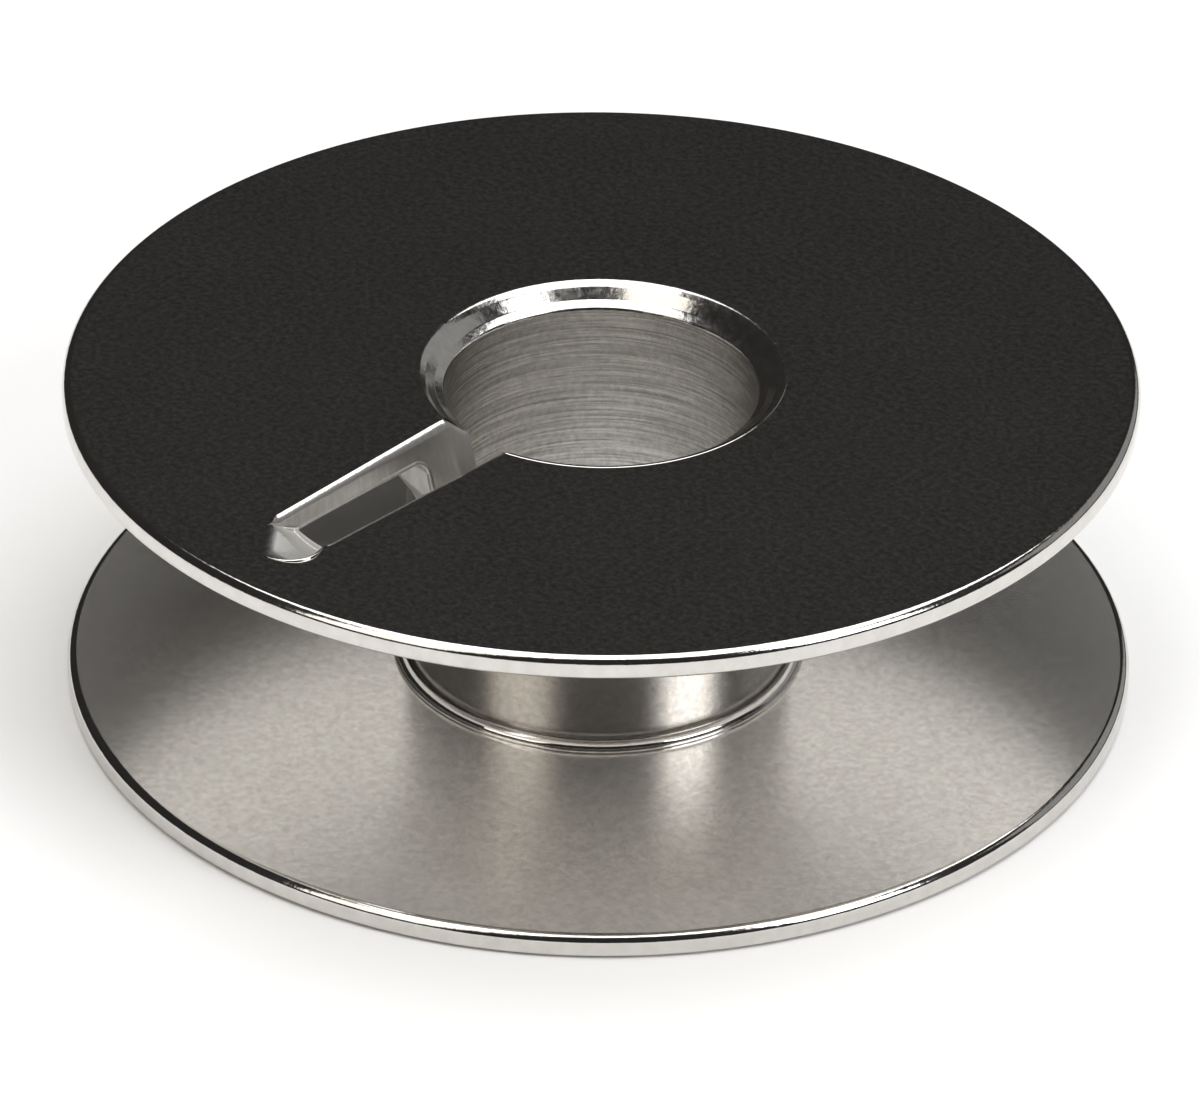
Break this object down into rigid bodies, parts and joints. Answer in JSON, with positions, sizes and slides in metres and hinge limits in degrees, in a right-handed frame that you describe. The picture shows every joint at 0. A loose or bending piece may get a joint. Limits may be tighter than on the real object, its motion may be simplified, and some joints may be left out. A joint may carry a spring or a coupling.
{
  "type": "sewing machine bobbin",
  "caption": "Metal sewing machine bobbin: two thin round flanges on a hollow hub, with a countersunk bore and a straight thread slot with an end ramp in the upper flange.",
  "frame": {"origin": "centre of the lower flange's outer face, on the bore axis", "axes": "+Z along the bore axis, up from the plain flange to the slotted one; the thread slot points to -Y"},
  "size_m": [0.026, 0.026, 0.0083],
  "materials": {
    "nickel_plate": "satin, with polished edges"
  },
  "bodies": {
    "root": {"bobbin": "nickel_plate"}
  },
  "joints": []
}
